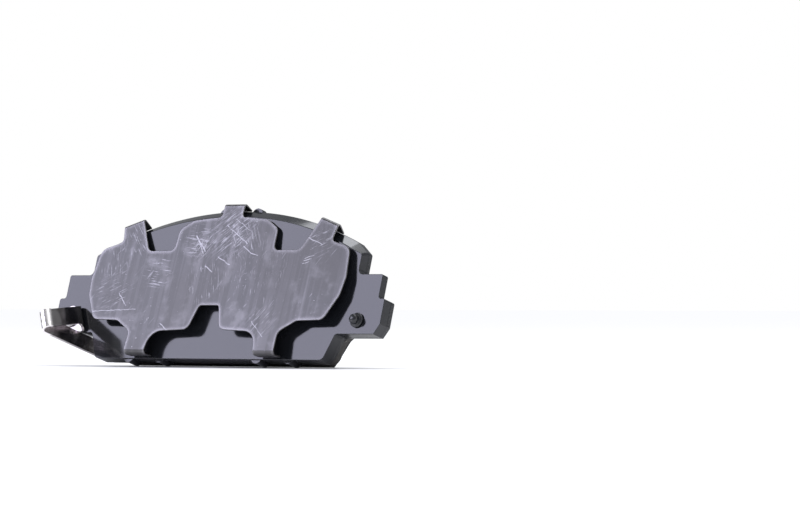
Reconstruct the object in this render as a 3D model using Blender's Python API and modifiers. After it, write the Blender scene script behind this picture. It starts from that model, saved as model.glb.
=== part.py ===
"""Disc brake pad with a clip-on shim and a riveted wear indicator.

Each piece is drawn in the pad's own frame: X runs from ear to ear, Z points to the outer edge of the
disc, and Y is counted from the plate's piston face towards the disc.  Lengths are in millimetres and
become metres in the mesh.  The finished pad then leans back as it does on a bench, on its lower nibs
and the lining's lower edge, with the origin on the surface that it stands on.
"""
import math

import bmesh
import bpy
from mathutils import Matrix, Vector

MM = 0.001
GAP = 0.3                    # clearance between pieces that touch

# ---------------------------------------------------------------- driving dimensions
PLATE_T = 5.9                # steel backing plate thickness
TOP_Z = 29.6                 # crest of the plate's upper arc above the plate's centre line
TOP_R = 140.0                # radius of that arc
BEVEL_Y = 3.3                # bevel on the piston side of the upper edge: depth and height
BEVEL_Z = 2.8
BODY_X = 61.8                # half length of the plate body between the ears
EAR_TOP_Z = 5.2
EAR_NECK_X = 72.9            # half length over the thinned upper ears
EAR_X = 75.7                 # half length over the full-thickness ear ends
EAR_STEP_Z = -3.6
EAR_LOW_Z = -16.5
EAR_NECK_T = 3.0             # thickness of the thinned upper ear
SHOULDER_TOP_X = 56.7
SHOULDER_LOW_X = 53.0
PLATE_LOW_Z = -26.0

NIB_R = 2.5                  # small locating bumps that stop the shim's tabs from sliding
TOP_NIB_X = 7.5
TOP_NIB_H = 1.4
LOW_NIB_XS = (22.6, 37.2)
LOW_NIB_H = 1.2

KEY_XS = (-38.0, -13.0, 13.0, 38.0)   # blind holes that key the moulded layers to the plate
KEY_Z = -2.0
KEY_R = 5.0
KEY_DEPTH = 2.8

UNDERLAYER_T = 2.7
UNDERLAYER_LOW_Z = -25.2
PAD_FACE_Y = 16.5            # disc face, from the plate's piston face
LINING_X = 58.2
LINING_LOW_Z = -23.95
END_CHAMFER_START_Y = 9.4
END_CHAMFER_X = 7.4

RIVET_X = 67.0
RIVET_Z = -11.6
SHANK_R = 2.0

NIB_FOOT_Z = PLATE_LOW_Z - LOW_NIB_H
LEAN = math.atan2(LINING_LOW_Z - NIB_FOOT_Z, PAD_FACE_Y - PLATE_T)

SHIM_T = 0.6
SHEET_Z = 29.3               # where the slanting sheet's own frame starts
SHEET_Y = -0.67
HANG_Z = 29.2                # where the upper tabs hang on the plate's bevel: the shim tips about it
HANG_Y = 2.6
SHIM_TILT = math.radians(4.8)
RUBBER_T = 0.4

STRIP_T = 0.9
STRIP_W = 7.1

PALETTE = {                  # base colour, roughness, metallic
    "black_gloss_paint": ((0.020, 0.021, 0.024), 0.16, 0.0),
    "grey_underlayer": ((0.085, 0.080, 0.076), 0.85, 0.0),
    "moulded_friction": ((0.060, 0.058, 0.057), 0.92, 0.0),
    "stainless_shim": ((0.46, 0.45, 0.47), 0.36, 1.0),
    "black_rubber": ((0.018, 0.018, 0.019), 0.75, 0.0),
    "nickel_strip": ((0.72, 0.68, 0.64), 0.24, 1.0),
    "bare_rivet_steel": ((0.56, 0.55, 0.54), 0.34, 1.0),
    "painted_rivet": ((0.020, 0.021, 0.024), 0.16, 0.0),
}


# ---------------------------------------------------------------- scene helpers
def clear_scene():
    for old in list(bpy.data.objects):
        bpy.data.objects.remove(old, do_unlink=True)


def new_collection(name):
    made = bpy.data.collections.new(name)
    bpy.context.scene.collection.children.link(made)
    return made


def finish_material(name):
    colour, roughness, metallic = PALETTE[name]
    made = bpy.data.materials.new(name)
    made.use_nodes = True
    shader = made.node_tree.nodes["Principled BSDF"]
    shader.inputs["Base Color"].default_value = (*colour, 1.0)
    shader.inputs["Roughness"].default_value = roughness
    shader.inputs["Metallic"].default_value = metallic
    return made


def mesh_object(name, bm, collection, material=None, parent=None):
    """Turn a bmesh drawn in millimetres into an object in metres."""
    bmesh.ops.scale(bm, vec=(MM, MM, MM), verts=bm.verts)
    mesh = bpy.data.meshes.new(name)
    bm.to_mesh(mesh)
    bm.free()
    made = bpy.data.objects.new(name, mesh)
    collection.objects.link(made)
    made.parent = parent
    if material:
        mesh.materials.append(finish_material(material))
    return made


def cutter(name, bm, collection, parent):
    made = mesh_object(name, bm, collection, parent=parent)
    made.display_type = "WIRE"
    made.hide_render = True
    return made


def boolean(target, tool, operation):
    step = target.modifiers.new(tool.name, "BOOLEAN")
    step.operation = operation
    step.object = tool
    step.solver = "EXACT"


def add_cylinder(bm, x, z, radius, y0, y1, segments=32):
    """Round bar along Y."""
    turn = Matrix.Rotation(math.radians(90.0), 4, "X")
    place = Matrix.Translation((x, (y0 + y1) / 2.0, z)) @ turn
    bmesh.ops.create_cone(bm, cap_ends=True, segments=segments, radius1=radius, radius2=radius,
                          depth=abs(y1 - y0), matrix=place)


def add_box(bm, low, high):
    size = Vector(high) - Vector(low)
    middle = (Vector(high) + Vector(low)) / 2.0
    place = Matrix.Translation(middle) @ Matrix.Diagonal((*size, 1.0))
    bmesh.ops.create_cube(bm, size=1.0, matrix=place)


# ---------------------------------------------------------------- flat outlines
def rounded(corners, steps=4):
    """Outline through (x, z, radius) corners, each radius drawn as an arc."""
    points = []
    count = len(corners)
    for i, (x, z, radius) in enumerate(corners):
        here = Vector((x, z))
        if radius <= 0.0:
            points.append(here)
            continue
        back = (Vector(corners[i - 1][:2]) - here).normalized()
        ahead = (Vector(corners[(i + 1) % count][:2]) - here).normalized()
        half = back.angle(ahead) / 2.0
        centre = here + (back + ahead).normalized() * (radius / math.sin(half))
        start = here + back * (radius / math.tan(half)) - centre
        stop = here + ahead * (radius / math.tan(half)) - centre
        sweep = start.angle_signed(stop)
        for k in range(steps + 1):
            turn = -sweep * k / steps
            spun = Vector((start.x * math.cos(turn) - start.y * math.sin(turn),
                           start.x * math.sin(turn) + start.y * math.cos(turn)))
            points.append(centre + spun)
    return points


def both_halves(right_half):
    """Close a right half that starts and ends on the centre line with its mirror image."""
    left_half = [(-x, z, r) for x, z, r in reversed(right_half) if x > 1e-6]
    return right_half + left_half


def arc_z(x, radius):
    """Height of a concentric upper arc at x."""
    return TOP_Z - TOP_R + math.sqrt(radius * radius - x * x)


def upper_arc(radius, x_end, points=9):
    return [(x_end * k / points, arc_z(x_end * k / points, radius), 0.0) for k in range(points + 1)]


def plate_outline(bevel):
    """Plate edge; the upper arc and corner are lowered where bevel is above zero."""
    half = upper_arc(TOP_R - bevel, 57.2 - 0.35 * bevel)
    half += [
        (BODY_X, 13.7 - 0.4 * bevel, 1.3),
        (BODY_X, EAR_TOP_Z, 2.0),
        (EAR_NECK_X, EAR_TOP_Z, 0.8),
        (EAR_NECK_X, EAR_STEP_Z, 1.0),
        (EAR_X, EAR_STEP_Z, 0.9),
        (EAR_X, -12.9, 0.4),
        (73.6, EAR_LOW_Z, 0.4),
        (SHOULDER_TOP_X, EAR_LOW_Z, 1.2),
        (SHOULDER_LOW_X, PLATE_LOW_Z, 2.4),
        (0.0, PLATE_LOW_Z, 0.0),
    ]
    return rounded(both_halves(half))


def loft(rings):
    """Closed body through rings of (points, y); all rings have the same number of points."""
    bm = bmesh.new()
    rows = [[bm.verts.new((p.x, y, p.y)) for p in points] for points, y in rings]
    count = len(rows[0])
    for low, high in zip(rows, rows[1:]):
        for i in range(count):
            j = (i + 1) % count
            bm.faces.new((low[i], low[j], high[j], high[i]))
    bm.faces.new(rows[0])
    bm.faces.new(rows[-1])
    bmesh.ops.recalc_face_normals(bm, faces=bm.faces)
    return bm


def blank(points, y0, y1):
    """Flat piece cut to an outline, as a closed mesh standing in the XZ plane."""
    curve = bpy.data.curves.new("outline", "CURVE")
    curve.dimensions = "2D"
    curve.fill_mode = "BOTH"
    curve.extrude = (y1 - y0) / 2.0
    spline = curve.splines.new("POLY")
    spline.points.add(len(points) - 1)
    for knot, p in zip(spline.points, points):
        knot.co = (p.x, p.y, 0.0, 1.0)
    spline.use_cyclic_u = True
    guide = bpy.data.objects.new("outline", curve)
    bpy.context.scene.collection.objects.link(guide)
    graph = bpy.context.evaluated_depsgraph_get()
    flat = bpy.data.meshes.new_from_object(guide.evaluated_get(graph))
    bpy.data.objects.remove(guide, do_unlink=True)
    bm = bmesh.new()
    bm.from_mesh(flat)
    bpy.data.meshes.remove(flat)
    bmesh.ops.remove_doubles(bm, verts=bm.verts, dist=0.0001)
    bmesh.ops.dissolve_limit(bm, angle_limit=math.radians(0.05), verts=bm.verts, edges=bm.edges)
    stand = Matrix.Translation((0.0, (y0 + y1) / 2.0, 0.0)) @ Matrix.Rotation(math.radians(90.0), 4, "X")
    bmesh.ops.transform(bm, matrix=stand, verts=bm.verts)
    bmesh.ops.recalc_face_normals(bm, faces=bm.faces)
    return bm


# ---------------------------------------------------------------- backing plate
def backing_plate(parts, cutters, root):
    full = plate_outline(0.0)
    bm = loft([(plate_outline(BEVEL_Z), 0.0), (full, BEVEL_Y), (full, PLATE_T)])
    plate = mesh_object("backing_plate", bm, parts, "black_gloss_paint", root)

    cuts = bmesh.new()
    for side in (-1, 1):
        ear = sorted((side * (BODY_X + 2.6), side * (EAR_X + 2.0)))
        add_box(cuts, (ear[0], EAR_NECK_T, EAR_STEP_Z + 0.4), (ear[1], PLATE_T + 2.0, EAR_TOP_Z + 2.0))
        add_cylinder(cuts, side * RIVET_X, RIVET_Z, SHANK_R + GAP, -2.0, PLATE_T + 2.0)
    for x in KEY_XS:
        add_cylinder(cuts, x, KEY_Z, KEY_R, PLATE_T - KEY_DEPTH, PLATE_T + 2.0)
    boolean(plate, cutter("plate_cuts", cuts, cutters, root), "DIFFERENCE")

    nibs = bmesh.new()
    for side in (-1, 1):
        crest = arc_z(TOP_NIB_X, TOP_R) + TOP_NIB_H
        add_cylinder(nibs, side * TOP_NIB_X, crest - NIB_R, NIB_R, BEVEL_Y, PLATE_T)
        for x in LOW_NIB_XS:
            add_cylinder(nibs, side * x, PLATE_LOW_Z - LOW_NIB_H + NIB_R, NIB_R, 0.6, PLATE_T)
    boolean(plate, cutter("plate_nibs", nibs, cutters, root), "UNION")


# ---------------------------------------------------------------- moulded layers
def moulded_outline(inset, end_x, low_z):
    """Edge of a moulded layer, drawn in from the plate's own edge."""
    half = upper_arc(TOP_R - inset, end_x - 7.6)
    half += [
        (end_x, 9.5, 2.0),
        (end_x, -15.0, 1.5),
        (SHOULDER_TOP_X - 0.35 * inset, EAR_LOW_Z - 1.6, 0.5),
        (SHOULDER_LOW_X + 0.3, low_z, 2.0),
        (0.0, low_z, 0.0),
    ]
    return rounded(both_halves(half))


def underlayer(parts, cutters, root):
    start = PLATE_T + GAP
    body = blank(moulded_outline(3.6, LINING_X + 0.6, UNDERLAYER_LOW_Z), start, start + UNDERLAYER_T)
    layer = mesh_object("underlayer", body, parts, "grey_underlayer", root)
    keys = bmesh.new()
    for x in KEY_XS:
        add_cylinder(keys, x, KEY_Z, KEY_R - GAP, PLATE_T - KEY_DEPTH + GAP, start + UNDERLAYER_T / 2.0)
    boolean(layer, cutter("underlayer_keys", keys, cutters, root), "UNION")


def wedge(bm, side, depth):
    """Tapered end: everything outside a slanting plane at one end of the lining."""
    run = Vector((side * END_CHAMFER_X, -depth))
    away = Vector((side * depth, END_CHAMFER_X)).normalized() * 20.0
    start = Vector((side * (LINING_X - END_CHAMFER_X), PAD_FACE_Y)) - run
    stop = start + run * 3.0
    foot = [bm.verts.new((p.x, p.y, -50.0)) for p in (start, stop, stop + away, start + away)]
    grown = bmesh.ops.extrude_face_region(bm, geom=[bm.faces.new(foot)])
    lifted = [v for v in grown["geom"] if isinstance(v, bmesh.types.BMVert)]
    bmesh.ops.translate(bm, vec=(0.0, 0.0, 100.0), verts=lifted)


def friction_lining(parts, cutters, root):
    start = PLATE_T + 2.0 * GAP + UNDERLAYER_T
    body = blank(moulded_outline(4.4, LINING_X, LINING_LOW_Z), start, PAD_FACE_Y)
    lining = mesh_object("friction_lining", body, parts, "moulded_friction", root)
    cuts = bmesh.new()
    for side in (-1, 1):
        wedge(cuts, side, PAD_FACE_Y - END_CHAMFER_START_Y)
    bmesh.ops.recalc_face_normals(cuts, faces=cuts.faces)
    boolean(lining, cutter("lining_cuts", cuts, cutters, root), "DIFFERENCE")


# ---------------------------------------------------------------- outer shim
def shim_right_half():
    """Right half of the sheet; z is above the plate's centre line, before the sheet is tipped."""
    return [
        (4.7, 30.3, 0.0),            # centre tab
        (4.7, 26.2, 1.5),
        (17.0, 25.1, 5.0),           # centre lobe
        (22.8, 21.6, 3.0),
        (23.2, 13.4, 2.2),           # notch
        (35.2, 13.4, 3.0),
        (41.2, 25.0, 0.0),           # side tab, square to the arc
        (49.7, 22.1, 0.0),
        (48.6, 16.9, 1.6),
        (57.8, 14.1, 4.0),           # outer corner
        (59.3, 3.0, 6.0),
        (58.4, -3.6, 5.0),
        (53.4, -12.9, 3.4),
        (41.8, -13.2, 4.0),
        (34.6, -17.4, 3.0),
        (34.8, -24.0, 0.0),          # lower tab
        (25.3, -24.0, 0.0),
        (24.2, -17.4, 6.0),
        (7.4, -16.6, 3.2),
        (4.5, -7.5, 1.4),            # deep middle notch
    ]


def bend_tab(bm, ends, outward, radius, angle, length, steps=5):
    """Roll a tab from its end edge over towards the plate, then run it straight."""
    rows = [(radius * math.sin(angle * k / steps), radius * (1.0 - math.cos(angle * k / steps)))
            for k in range(1, steps + 1)]
    out, back = rows[-1]
    rows.append((out + length * math.cos(angle), back + length * math.sin(angle)))
    edge = bm.edges.get(ends)
    was = Vector((0.0, 0.0, 0.0))
    for out, back in rows:
        grown = bmesh.ops.extrude_edge_only(bm, edges=[edge])["geom"]
        moved = [v for v in grown if isinstance(v, bmesh.types.BMVert)]
        now = outward * out + Vector((0.0, back, 0.0))
        bmesh.ops.translate(bm, vec=now - was, verts=moved)
        edge = bm.edges.get(moved)
        was = now


def outer_shim(parts, sheet_frame):
    half = shim_right_half()
    left = [(-x, z, r) for x, z, r in reversed(half)]
    points = rounded(half + left)
    bm = bmesh.new()
    ring = [bm.verts.new((p.x, 0.0, p.y - SHEET_Z)) for p in points]
    bm.faces.new(ring)

    def at(x, z):
        return min(ring, key=lambda v: (v.co - Vector((x, 0.0, z - SHEET_Z))).length)

    top_hook = dict(radius=0.75, angle=math.radians(116.0), length=2.4)
    side_hook = dict(radius=0.75, angle=math.radians(122.0), length=2.7)
    low_hook = dict(radius=1.5, angle=math.radians(101.0), length=2.7)
    bend_tab(bm, [at(-4.7, 30.3), at(4.7, 30.3)], Vector((0.0, 0.0, 1.0)), **top_hook)
    for side in (-1, 1):
        inner, outer = at(side * 41.2, 25.0), at(side * 49.7, 22.1)
        along = (outer.co - inner.co).normalized()
        outward = Vector((-along.z, 0.0, along.x)) * side
        bend_tab(bm, [inner, outer], outward, **side_hook)
        low_edge = [at(side * 25.3, -24.0), at(side * 34.8, -24.0)]
        bend_tab(bm, low_edge, Vector((0.0, 0.0, -1.0)), **low_hook)
    bmesh.ops.recalc_face_normals(bm, faces=bm.faces)
    shim = mesh_object("outer_shim", bm, parts, "stainless_shim", sheet_frame)
    skin = shim.modifiers.new("sheet", "SOLIDIFY")
    skin.thickness = SHIM_T * MM
    skin.offset = 0.0
    skin.use_even_offset = True


def shim_damping_layer(parts, sheet_frame):
    half = [
        (0.0, 18.8, 0.0), (21.4, 18.8, 1.5), (21.4, 11.8, 1.5), (57.4, 11.8, 2.0), (57.3, -2.8, 3.0),
        (52.4, -11.4, 2.0), (41.4, -11.8, 3.0), (33.6, -15.6, 2.0), (8.6, -15.2, 2.0), (5.8, -6.2, 1.5),
        (0.0, -6.2, 0.0),
    ]
    near = SHIM_T / 2.0 + GAP
    points = [p - Vector((0.0, SHEET_Z)) for p in rounded(both_halves(half))]
    mesh_object("shim_damping_layer", blank(points, near, near + RUBBER_T), parts, "black_rubber", sheet_frame)


# ---------------------------------------------------------------- wear indicator
def wear_indicator(parts, cutters, pivot, bend_at, across, aside):
    """Spring strip: riveted tab, leg out from the plate, U-bend and leg back past the shoulder."""
    out = Vector((0.0, -1.0, 0.0))
    bend_r, loop_r = 1.2, 2.1
    leg_out, leg_back = 18.4, 26.4
    slant = 0.40                     # how far leg 1 drifts down for each millimetre outwards

    stations = []                    # outwards, aside, top edge, bottom edge
    for k in range(4):
        a = math.radians(30.0 * k)
        reach = bend_r * (1.0 - math.cos(a))
        stations.append((reach, bend_r * (1.0 - math.sin(a)), slant * reach, 10.0 - 0.9 * reach))
    stations.append((2.6, 0.0, slant * 2.6, slant * 2.6 + STRIP_W))
    stations.append((leg_out, 0.0, slant * leg_out, slant * leg_out + STRIP_W))
    turn_end = 185.0
    drift = 0.6
    for k in range(1, 9):
        a = math.radians(turn_end * k / 8.0)
        top = slant * leg_out + drift * k / 8.0
        stations.append((leg_out + loop_r * math.sin(a), loop_r * (1.0 - math.cos(a)), top, top + STRIP_W))
    far_out, far_aside, top, low = stations[-1]
    a = math.radians(turn_end)
    top += 0.09 * leg_back
    low += 0.09 * leg_back
    stations.append((far_out + leg_back * math.cos(a), far_aside + leg_back * math.sin(a), top, low))

    bm = bmesh.new()
    rows = []
    for reach, side, top, low in stations:
        base = out * reach + aside * side
        rows.append([bm.verts.new(base + across * top), bm.verts.new(base + across * low)])
    for a_row, b_row in zip(rows, rows[1:]):
        bm.faces.new((a_row[0], a_row[1], b_row[1], b_row[0]))

    centre = Vector((-RIVET_X, 0.0, RIVET_Z)) - bend_at
    centre.y = 0.0
    tab_r = 4.9
    outline = [rows[0][0]]
    for k in range(11):
        a = math.radians(88.0 + 184.0 * k / 10.0)
        outline.append(bm.verts.new(centre + Vector((math.cos(a), 0.0, math.sin(a))) * tab_r))
    outline.append(rows[0][1])
    bm.faces.new(outline)
    bmesh.ops.recalc_face_normals(bm, faces=bm.faces)
    strip = mesh_object("wear_indicator", bm, parts, "nickel_strip", pivot)
    skin = strip.modifiers.new("sheet", "SOLIDIFY")
    skin.thickness = STRIP_T * MM
    skin.offset = 0.0
    skin.use_even_offset = True
    hole = bmesh.new()
    add_cylinder(hole, centre.x, centre.z, SHANK_R + GAP, -3.0, 3.0)
    boolean(strip, cutter("indicator_hole", hole, cutters, pivot), "DIFFERENCE")


# ---------------------------------------------------------------- rivets
def turned(name, profile, x, parts, material, root):
    """Round piece from a (radius, height) profile; height points towards the piston side."""
    bm = bmesh.new()
    points = [bm.verts.new((radius, 0.0, height)) for radius, height in profile]
    for a, b in zip(points, points[1:]):
        bm.edges.new((a, b))
    made = mesh_object(name, bm, parts, material, root)
    made.location = Vector((x, 0.0, RIVET_Z)) * MM
    made.rotation_euler = (math.radians(90.0), 0.0, 0.0)
    spin = made.modifiers.new("turn", "SCREW")
    spin.axis = "Z"
    spin.steps = 32
    spin.render_steps = 32
    spin.use_merge_vertices = True
    spin.merge_threshold = 0.00001
    return made


def rivets(parts, root):
    back = -(PLATE_T + GAP)
    over_tab = STRIP_T + 2.0 * GAP
    tail = [(SHANK_R, back), (3.3, back), (3.3, back - 0.9), (2.7, back - 1.3), (0.0, back - 1.3)]
    formed = [(0.0, over_tab + 1.25), (2.3, over_tab + 1.15), (3.0, over_tab + 0.8), (3.2, over_tab + 0.3),
              (3.15, over_tab), (SHANK_R, over_tab)]
    plain = [(0.0, 4.4), (1.1, 4.25), (1.65, 3.8), (1.9, 3.1), (1.9, 1.25), (2.75, 1.05), (2.95, 0.7),
             (2.95, GAP), (SHANK_R, GAP)]
    turned("indicator_rivet", formed + tail, -RIVET_X, parts, "bare_rivet_steel", root)
    turned("spare_rivet", plain + tail, RIVET_X, parts, "painted_rivet", root)


# ---------------------------------------------------------------- assembly
def empty(name, collection, parent=None):
    made = bpy.data.objects.new(name, None)
    made.parent = parent
    collection.objects.link(made)
    return made


def stand_up(root, parts):
    """Lean the pad back on its feet, with the bottom centre of its box at the origin."""
    root.rotation_euler = (-LEAN, 0.0, 0.0)
    bpy.context.view_layer.update()
    graph = bpy.context.evaluated_depsgraph_get()
    corners = []
    for made in parts.objects:
        if made.type == "MESH":
            shape = made.evaluated_get(graph)
            mesh = shape.to_mesh()
            corners += [shape.matrix_world @ v.co for v in mesh.vertices]
            shape.to_mesh_clear()
    ys = [c.y for c in corners]
    root.location = (0.0, -(min(ys) + max(ys)) / 2.0, -min(c.z for c in corners))
    bpy.context.view_layer.update()


def build():
    clear_scene()
    parts = new_collection("brake_pad")
    cutters = new_collection("cutters")
    root = empty("pad_frame", parts)

    backing_plate(parts, cutters, root)
    underlayer(parts, cutters, root)
    friction_lining(parts, cutters, root)

    shim_pivot = empty("shim_pivot", parts, root)
    shim_pivot.location = Vector((0.0, HANG_Y, HANG_Z)) * MM
    sheet_frame = empty("sheet_frame", parts, shim_pivot)
    sheet_frame.location = Vector((0.0, SHEET_Y - HANG_Y, SHEET_Z - HANG_Z)) * MM
    sheet_frame.rotation_euler = (-SHIM_TILT, 0.0, 0.0)
    outer_shim(parts, sheet_frame)
    shim_damping_layer(parts, sheet_frame)

    lean = math.radians(24.8)        # the bend line leans in towards the pad as it goes down
    across = Vector((math.sin(lean), 0.0, -math.cos(lean)))
    aside = Vector((-math.cos(lean), 0.0, -math.sin(lean)))
    bend_at = Vector((3.1 - RIVET_X, -(GAP + STRIP_T / 2.0), RIVET_Z + 4.8))
    strip_pivot = empty("indicator_pivot", parts, root)
    strip_pivot.location = bend_at * MM
    wear_indicator(parts, cutters, strip_pivot, bend_at, across, aside)
    rivets(parts, root)
    stand_up(root, parts)


build()
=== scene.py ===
"""Studio scene of a disc brake pad: painted plate, scuffed steel shim and a riveted wear indicator."""
import math

import bmesh
import bpy
from mathutils import Matrix, Vector


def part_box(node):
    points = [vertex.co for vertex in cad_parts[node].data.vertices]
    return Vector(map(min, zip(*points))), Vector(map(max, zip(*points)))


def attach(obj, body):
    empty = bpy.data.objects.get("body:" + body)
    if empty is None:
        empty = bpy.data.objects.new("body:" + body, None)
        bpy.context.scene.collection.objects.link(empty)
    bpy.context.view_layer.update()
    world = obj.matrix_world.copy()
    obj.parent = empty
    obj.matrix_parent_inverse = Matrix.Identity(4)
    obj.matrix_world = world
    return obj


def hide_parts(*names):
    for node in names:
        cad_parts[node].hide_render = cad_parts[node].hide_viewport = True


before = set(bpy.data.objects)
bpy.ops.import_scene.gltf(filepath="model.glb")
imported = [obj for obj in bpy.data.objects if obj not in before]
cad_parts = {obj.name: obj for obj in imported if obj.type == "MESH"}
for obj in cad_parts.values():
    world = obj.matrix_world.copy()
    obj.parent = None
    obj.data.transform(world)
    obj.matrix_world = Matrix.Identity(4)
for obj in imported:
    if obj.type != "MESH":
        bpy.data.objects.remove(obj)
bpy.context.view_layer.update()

MM = 0.001
DISC_FACE = 16.5             # plate's piston face to the lining's disc face, in millimetres
GAP = 0.3                    # clearance between pieces that touch

# plate, in millimetres from the middle of its piston face
PLATE_T = 5.9
TOP_Z = 29.6
TOP_R = 140.0
BEVEL_Y = 3.3
BEVEL_Z = 2.8
BODY_X = 61.8
EAR_TOP_Z = 5.2
EAR_NECK_X = 72.9
EAR_NECK_T = 3.0
EAR_X = 75.7
EAR_STEP_Z = -3.6
EAR_LOW_Z = -16.5
SHOULDER_TOP_X = 56.7
SHOULDER_LOW_X = 53.0
PLATE_LOW_Z = -26.0
ARC_END_X = 57.2             # where the upper arc ends at the shoulder
SHOULDER_Z = 13.7
EAR_CORNER_X = 73.6          # cut lower corner of the ear
EAR_CORNER_Z = -12.9
EDGE_BREAK = 0.2             # broken edges of the plate and the moulded layers
NIB_R = 2.5
TOP_NIB_X = 7.5
TOP_NIB_H = 1.4
LOW_NIB_XS = (22.6, 37.2)
LOW_NIB_H = 1.2

# moulded layers
UNDERLAYER_T = 2.7
UNDERLAYER_LOW_Z = -25.2
UNDERLAYER_INSET = 3.6       # below the plate's upper arc
UNDERLAYER_X = 58.8
LINING_INSET = 4.4
LINING_X = 58.2
LINING_LOW_Z = -23.95
END_CHAMFER_START_Y = 9.4
END_CHAMFER_X = 7.4
LOW_CORNER_Z = -13.0         # below this the lining's ends slant inwards and their chamfer follows
LOW_CORNER_RUN = 5.6
CUT_REACH = 40.0             # cutters go well past what they cut
CUT_DEPTH = 20.0

# riveted and clipped pieces
RIVET_X = 67.0
SPARE_X = 65.4               # the painted spare rivet and its hole sit a little closer in
RIVET_Z = -11.6
SHANK_R = 2.0
SHIM_T = 0.6
SHEET_Y = -0.67
SHEET_Z = 29.3
SHIM_TILT = math.radians(4.8)
RUBBER_T = 0.4
TOP_TAB = (4.7, 30.3)        # x, z of the ends of the lines along which the shim's tabs bend
SIDE_TAB_INNER = (41.2, 25.0)
SIDE_TAB_OUTER = (49.7, 22.1)
LOW_TAB_INNER = (25.3, -24.0)
LOW_TAB_OUTER = (34.8, -24.0)
STRIP_T = 0.9
STRIP_W = 7.1

# the pad leans back on its nibs and the lining's lower edge
NIB_FOOT_Z = PLATE_LOW_Z - LOW_NIB_H
LEAN = math.atan2(LINING_LOW_Z - NIB_FOOT_Z, DISC_FACE - PLATE_T)
LINING_TOP_Z = TOP_Z - LINING_INSET
PAD_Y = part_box("friction_lining")[1][1] - MM * (DISC_FACE * math.cos(LEAN) + LINING_TOP_Z * math.sin(LEAN))
PAD_Z = MM * (PLATE_T * math.sin(LEAN) - NIB_FOOT_Z * math.cos(LEAN))

FRAME = Matrix.Translation((0.0, PAD_Y, PAD_Z)) @ Matrix.Rotation(-LEAN, 4, "X")
SHIM_FRAME = (FRAME @ Matrix.Translation(Vector((0.0, SHEET_Y, SHEET_Z)) * MM)
              @ Matrix.Rotation(-SHIM_TILT, 4, "X"))


# ---------------------------------------------------------------- mesh helpers
def collection(name):
    made = bpy.data.collections.new(name)
    bpy.context.scene.collection.children.link(made)
    return made


PARTS = collection("brake_pad_finish")
CUTTERS = collection("finish_cutters")


def place(name, bm, where, home):
    """Turn a bmesh drawn in millimetres into an object in metres, standing in the given frame."""
    bmesh.ops.transform(bm, matrix=Matrix.Scale(MM, 4), verts=bm.verts)
    bmesh.ops.recalc_face_normals(bm, faces=bm.faces)
    mesh = bpy.data.meshes.new(name)
    bm.to_mesh(mesh)
    bm.free()
    mesh.shade_smooth()
    made = bpy.data.objects.new(name, mesh)
    made.matrix_world = where
    home.objects.link(made)
    return made


def piece(name, bm, where, material, node, body):
    made = place(name, bm, where, PARTS)
    made.data.materials.append(material)
    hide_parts(node)
    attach(made, body)
    return made


def boolean(target, name, bm, where, operation="DIFFERENCE"):
    tool = place(name, bm, where, CUTTERS)
    tool.hide_render = True
    tool.display_type = "WIRE"
    step = target.modifiers.new(name, "BOOLEAN")
    step.operation = operation
    step.object = tool
    step.solver = "EXACT"


def soften(target, width, angle=28.0):
    """Round the sharp edges a little, so that they catch the light."""
    step = target.modifiers.new("broken_edges", "BEVEL")
    step.width = width * MM
    step.segments = 3
    step.limit_method = "ANGLE"
    step.angle_limit = math.radians(angle)
    step.use_clamp_overlap = False


def settle(target, angle=32.0):
    """Fix the modelled shape as a mesh, smooth over its bends and flat on its faces."""
    bpy.context.view_layer.update()
    graph = bpy.context.evaluated_depsgraph_get()
    shape = bpy.data.meshes.new_from_object(target.evaluated_get(graph))
    target.modifiers.clear()
    target.data = shape
    shape.shade_smooth()
    shape.set_sharp_from_angle(angle=math.radians(angle))
    even = target.modifiers.new("flat_faces_stay_flat", "WEIGHTED_NORMAL")
    even.mode = "FACE_AREA"
    even.weight = 100
    even.keep_sharp = True


def sheet(target, thickness, lining=None):
    """Give a flat shell its thickness, with another material on its plate side if one is named."""
    step = target.modifiers.new("sheet", "SOLIDIFY")
    step.thickness = thickness * MM
    if lining:
        target.data.materials.append(lining)
        step.material_offset = 1
    step.offset = 0.0
    step.use_even_offset = True


def add_cylinder(bm, x, z, radius, y0, y1, segments=64):
    turn = Matrix.Rotation(math.radians(90.0), 4, "X")
    spot = Matrix.Translation((x, (y0 + y1) / 2.0, z)) @ turn
    bmesh.ops.create_cone(bm, cap_ends=True, segments=segments, radius1=radius, radius2=radius,
                          depth=abs(y1 - y0), matrix=spot)


def add_prism(bm, foot, lift):
    """Closed solid between a flat outline and the same outline moved by lift."""
    face = bm.faces.new([bm.verts.new(p) for p in foot])
    grown = bmesh.ops.extrude_face_region(bm, geom=[face])
    lifted = [v for v in grown["geom"] if isinstance(v, bmesh.types.BMVert)]
    bmesh.ops.translate(bm, vec=lift, verts=lifted)


def add_box(bm, low, high):
    size = Vector(high) - Vector(low)
    middle = (Vector(high) + Vector(low)) / 2.0
    bmesh.ops.create_cube(bm, size=1.0, matrix=Matrix.Translation(middle) @ Matrix.Diagonal((*size, 1.0)))


def rounded(corners, steps=8):
    """Outline through (x, z, radius) corners, each radius drawn as an arc."""
    points = []
    count = len(corners)
    for i, (x, z, radius) in enumerate(corners):
        here = Vector((x, z))
        if radius <= 0.0:
            points.append(here)
            continue
        back = (Vector(corners[i - 1][:2]) - here).normalized()
        ahead = (Vector(corners[(i + 1) % count][:2]) - here).normalized()
        half = back.angle(ahead) / 2.0
        centre = here + (back + ahead).normalized() * (radius / math.sin(half))
        start = here + back * (radius / math.tan(half)) - centre
        stop = here + ahead * (radius / math.tan(half)) - centre
        sweep = start.angle_signed(stop)
        for k in range(steps + 1):
            turn = -sweep * k / steps
            points.append(centre + Vector((start.x * math.cos(turn) - start.y * math.sin(turn),
                                           start.x * math.sin(turn) + start.y * math.cos(turn))))
    return points


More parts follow.
